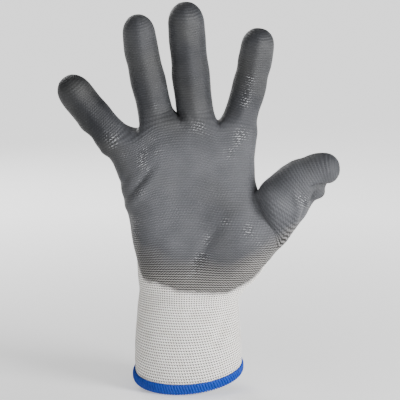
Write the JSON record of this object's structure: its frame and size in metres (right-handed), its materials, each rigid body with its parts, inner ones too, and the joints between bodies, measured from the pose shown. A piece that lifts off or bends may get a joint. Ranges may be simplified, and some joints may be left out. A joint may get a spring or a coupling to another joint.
{
  "type": "work glove",
  "caption": "Knitted right-hand work glove with a dipped grey palm film and a ribbed cuff; fingers, thumb and wrist bend",
  "frame": {"origin": "the middle of the wrist opening, in the plane of the cuff's edge", "axes": "+X across the palm to the thumb's side, -Y out of the palm side, +Z from the cuff to the fingertips"},
  "size_m": [0.1807, 0.0593, 0.2435],
  "materials": {
    "knit_fabric": "13-gauge knit of white polyester yarn, matt",
    "nitrile_film": "smooth dipped nitrile, satin, the knit showing faintly through it",
    "elastic_yarn": "covered elastic yarn",
    "overlock_thread": "blue overlock thread, slight sheen"
  },
  "bodies": {
    "palm": {"palm_knit": "knit_fabric", "palm_film": "nitrile_film", "wrist_knit": "knit_fabric"},
    "cuff": {"cuff_knit": "knit_fabric", "cuff_elastic": "elastic_yarn", "hem_overlock": "overlock_thread"},
    "index_base": {"index_base_knit": "knit_fabric", "index_base_film": "nitrile_film"},
    "index_middle": {"index_middle_knit": "knit_fabric", "index_middle_film": "nitrile_film"},
    "index_tip": {"index_tip_knit": "knit_fabric", "index_tip_film": "nitrile_film"},
    "middle_base": {"middle_base_knit": "knit_fabric", "middle_base_film": "nitrile_film"},
    "middle_middle": {"middle_middle_knit": "knit_fabric", "middle_middle_film": "nitrile_film"},
    "middle_tip": {"middle_tip_knit": "knit_fabric", "middle_tip_film": "nitrile_film"},
    "ring_base": {"ring_base_knit": "knit_fabric", "ring_base_film": "nitrile_film"},
    "ring_middle": {"ring_middle_knit": "knit_fabric", "ring_middle_film": "nitrile_film"},
    "ring_tip": {"ring_tip_knit": "knit_fabric", "ring_tip_film": "nitrile_film"},
    "little_base": {"little_base_knit": "knit_fabric", "little_base_film": "nitrile_film"},
    "little_middle": {"little_middle_knit": "knit_fabric", "little_middle_film": "nitrile_film"},
    "little_tip": {"little_tip_knit": "knit_fabric", "little_tip_film": "nitrile_film"},
    "thumb_base": {"thumb_base_knit": "knit_fabric", "thumb_base_film": "nitrile_film"},
    "thumb_tip": {"thumb_tip_knit": "knit_fabric", "thumb_tip_film": "nitrile_film"}
  },
  "joints": [
    {"name": "wrist_bend", "type": "hinge", "parent": "palm", "child": "cuff", "pos_m": [0, -0.008, 0.043], "axis": [1, 0, 0], "range_deg": [-28, 28], "stiffness_Nm_per_rad": 0.05, "deforming": ["wrist_knit"]},
    {"name": "index_root_bend", "type": "hinge", "parent": "palm", "child": "index_base", "pos_m": [0.03218, -0.01826, 0.15673], "axis": [0.9976, 0, -0.0698], "range_deg": [0, 80], "stiffness_Nm_per_rad": 0.02},
    {"name": "index_middle_bend", "type": "hinge", "parent": "index_base", "child": "index_middle", "pos_m": [0.03832, -0.01942, 0.17821], "axis": [0.9703, 0, -0.2419], "range_deg": [0, 85], "stiffness_Nm_per_rad": 0.02},
    {"name": "index_tip_bend", "type": "hinge", "parent": "index_middle", "child": "index_tip", "pos_m": [0.04198, -0.02175, 0.19491], "axis": [0.9848, 0, -0.1736], "range_deg": [0, 56], "stiffness_Nm_per_rad": 0.02},
    {"name": "middle_root_bend", "type": "hinge", "parent": "palm", "child": "middle_base", "pos_m": [0.00521, -0.01907, 0.16071], "axis": [0.9994, 0, 0.0349], "range_deg": [0, 80], "stiffness_Nm_per_rad": 0.02},
    {"name": "middle_middle_bend", "type": "hinge", "parent": "middle_base", "child": "middle_middle", "pos_m": [0.00197, -0.02045, 0.18716], "axis": [0.9941, 0, 0.1089], "range_deg": [0, 85], "stiffness_Nm_per_rad": 0.02},
    {"name": "middle_tip_bend", "type": "hinge", "parent": "middle_middle", "child": "middle_tip", "pos_m": [-0.00004, -0.02327, 0.20748], "axis": [0.9969, 0, 0.0785], "range_deg": [0, 56], "stiffness_Nm_per_rad": 0.02},
    {"name": "ring_root_bend", "type": "hinge", "parent": "palm", "child": "ring_base", "pos_m": [-0.01978, -0.01835, 0.15973], "axis": [0.9962, 0, 0.0872], "range_deg": [0, 80], "stiffness_Nm_per_rad": 0.02},
    {"name": "ring_middle_bend", "type": "hinge", "parent": "ring_base", "child": "ring_middle", "pos_m": [-0.02504, -0.01962, 0.18358], "axis": [0.979, 0, 0.2036], "range_deg": [0, 85], "stiffness_Nm_per_rad": 0.02},
    {"name": "ring_tip_bend", "type": "hinge", "parent": "ring_middle", "child": "ring_tip", "pos_m": [-0.02868, -0.0222, 0.20193], "axis": [0.9863, 0, 0.165], "range_deg": [0, 56], "stiffness_Nm_per_rad": 0.02},
    {"name": "little_root_bend", "type": "hinge", "parent": "palm", "child": "little_base", "pos_m": [-0.0459, -0.01844, 0.14575], "axis": [0.9272, 0, 0.3746], "range_deg": [0, 80], "stiffness_Nm_per_rad": 0.02},
    {"name": "little_middle_bend", "type": "hinge", "parent": "little_base", "child": "little_middle", "pos_m": [-0.058, -0.0194, 0.15977], "axis": [0.766, 0, 0.6428], "range_deg": [0, 85], "stiffness_Nm_per_rad": 0.02},
    {"name": "little_tip_bend", "type": "hinge", "parent": "little_middle", "child": "little_tip", "pos_m": [-0.06696, -0.02125, 0.17067], "axis": [0.8039, 0, 0.5948], "range_deg": [0, 56], "stiffness_Nm_per_rad": 0.02},
    {"name": "thumb_root_bend", "type": "hinge", "parent": "palm", "child": "thumb_base", "pos_m": [0.06077, -0.03285, 0.09437], "axis": [0.6593, 0.4973, -0.564], "range_deg": [0, 40], "stiffness_Nm_per_rad": 0.02},
    {"name": "thumb_tip_bend", "type": "hinge", "parent": "thumb_base", "child": "thumb_tip", "pos_m": [0.07363, -0.03283, 0.10982], "axis": [0.5612, 0.5019, -0.6581], "range_deg": [0, 60], "stiffness_Nm_per_rad": 0.02}
  ],
  "couplings": [
    {"joint": "index_tip_bend", "follows": "index_middle_bend", "ratio": 0.65},
    {"joint": "middle_tip_bend", "follows": "middle_middle_bend", "ratio": 0.65},
    {"joint": "ring_tip_bend", "follows": "ring_middle_bend", "ratio": 0.65},
    {"joint": "little_tip_bend", "follows": "little_middle_bend", "ratio": 0.65}
  ]
}
